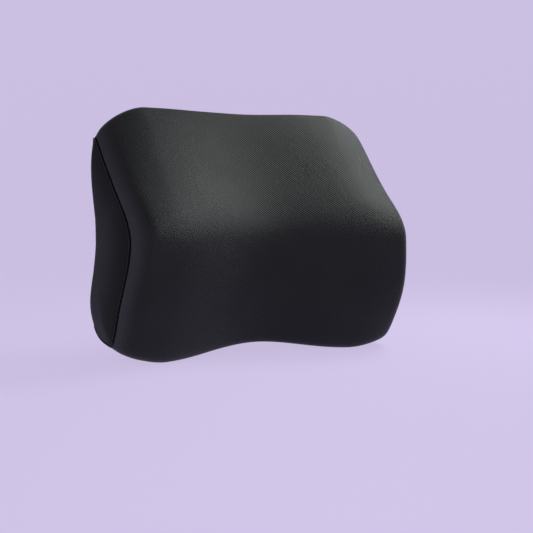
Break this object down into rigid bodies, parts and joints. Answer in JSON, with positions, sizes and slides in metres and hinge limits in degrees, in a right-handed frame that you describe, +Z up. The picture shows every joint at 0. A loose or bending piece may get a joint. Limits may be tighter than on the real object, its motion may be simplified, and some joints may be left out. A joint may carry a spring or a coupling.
{
  "type": "chair headrest cushion",
  "caption": "Contoured foam headrest cushion with zipped mesh cover and a buckled strap that holds it to a chair back.",
  "frame": {"origin": "middle of the cover's flat back, level with the thickest part of the front", "axes": "+X to the right seen from the front, +Y out of the flat back towards the chair, +Z up"},
  "size_m": [0.282, 0.133, 0.2198],
  "materials": {
    "foam": "open-cell memory foam",
    "liner": "thin white knit",
    "mesh_fabric": "charcoal spacer mesh, fine diagonal rib",
    "side_fabric": "charcoal smooth knit",
    "back_fabric": "charcoal smooth knit",
    "zip_tape": "black woven tape",
    "zip_chain": "black nylon coil",
    "zip_metal": "black enamelled zinc",
    "webbing": "black elastic webbing",
    "thread": "black polyester thread",
    "buckle_plastic": "black acetal, fine texture",
    "label": "blank satin ribbon"
  },
  "bodies": {
    "cushion": {"foam_core": "foam", "liner_wrap": "liner", "liner_back": "liner", "liner_end_left": "liner", "liner_end_right": "liner", "front_panel": "mesh_fabric", "end_panel_left": "side_fabric", "end_panel_right": "side_fabric", "back_panel_upper": "back_fabric", "back_panel_lower": "back_fabric", "zip_tape_upper": "zip_tape", "zip_tape_lower": "zip_tape", "zip_chain_upper": "zip_chain", "zip_chain_lower": "zip_chain", "zip_stops": "zip_metal", "strap_left": "webbing", "strap_right": "webbing", "bartacks": "thread", "buckle_female": "buckle_plastic", "buckle_male": "buckle_plastic", "care_label": "label"},
    "zip_slider": {"zip_slider": "zip_metal"},
    "zip_pull": {"zip_pull": "zip_metal"},
    "latch_upper": {"latch_arm_upper": "buckle_plastic"},
    "latch_lower": {"latch_arm_lower": "buckle_plastic"},
    "keeper": {"strap_keeper": "buckle_plastic"}
  },
  "joints": [
    {"name": "zip_slider_travel", "type": "slide", "parent": "cushion", "child": "zip_slider", "axis": [-1, 0, 0], "range_m": [0, 0.19]},
    {"name": "zip_pull_swing", "type": "hinge", "parent": "zip_slider", "child": "zip_pull", "pos_m": [0.095, 0.0043, -0.046], "axis": [0, 0, -1], "range_deg": [0, 180]},
    {"name": "latch_upper_squeeze", "type": "hinge", "parent": "cushion", "child": "latch_upper", "pos_m": [0.01, 0.0126, 0.025], "axis": [0, -1, 0], "range_deg": [0, 12], "stiffness_Nm_per_rad": 0.3},
    {"name": "latch_lower_squeeze", "type": "hinge", "parent": "cushion", "child": "latch_lower", "pos_m": [0.01, 0.0126, -0.005], "axis": [0, 1, 0], "range_deg": [0, 12], "stiffness_Nm_per_rad": 0.3},
    {"name": "keeper_slide", "type": "slide", "parent": "cushion", "child": "keeper", "axis": [-1, 0, 0], "range_m": [-0.003, 0.036]}
  ],
  "couplings": [
    {"joint": "latch_lower_squeeze", "follows": "latch_upper_squeeze", "ratio": 1}
  ]
}
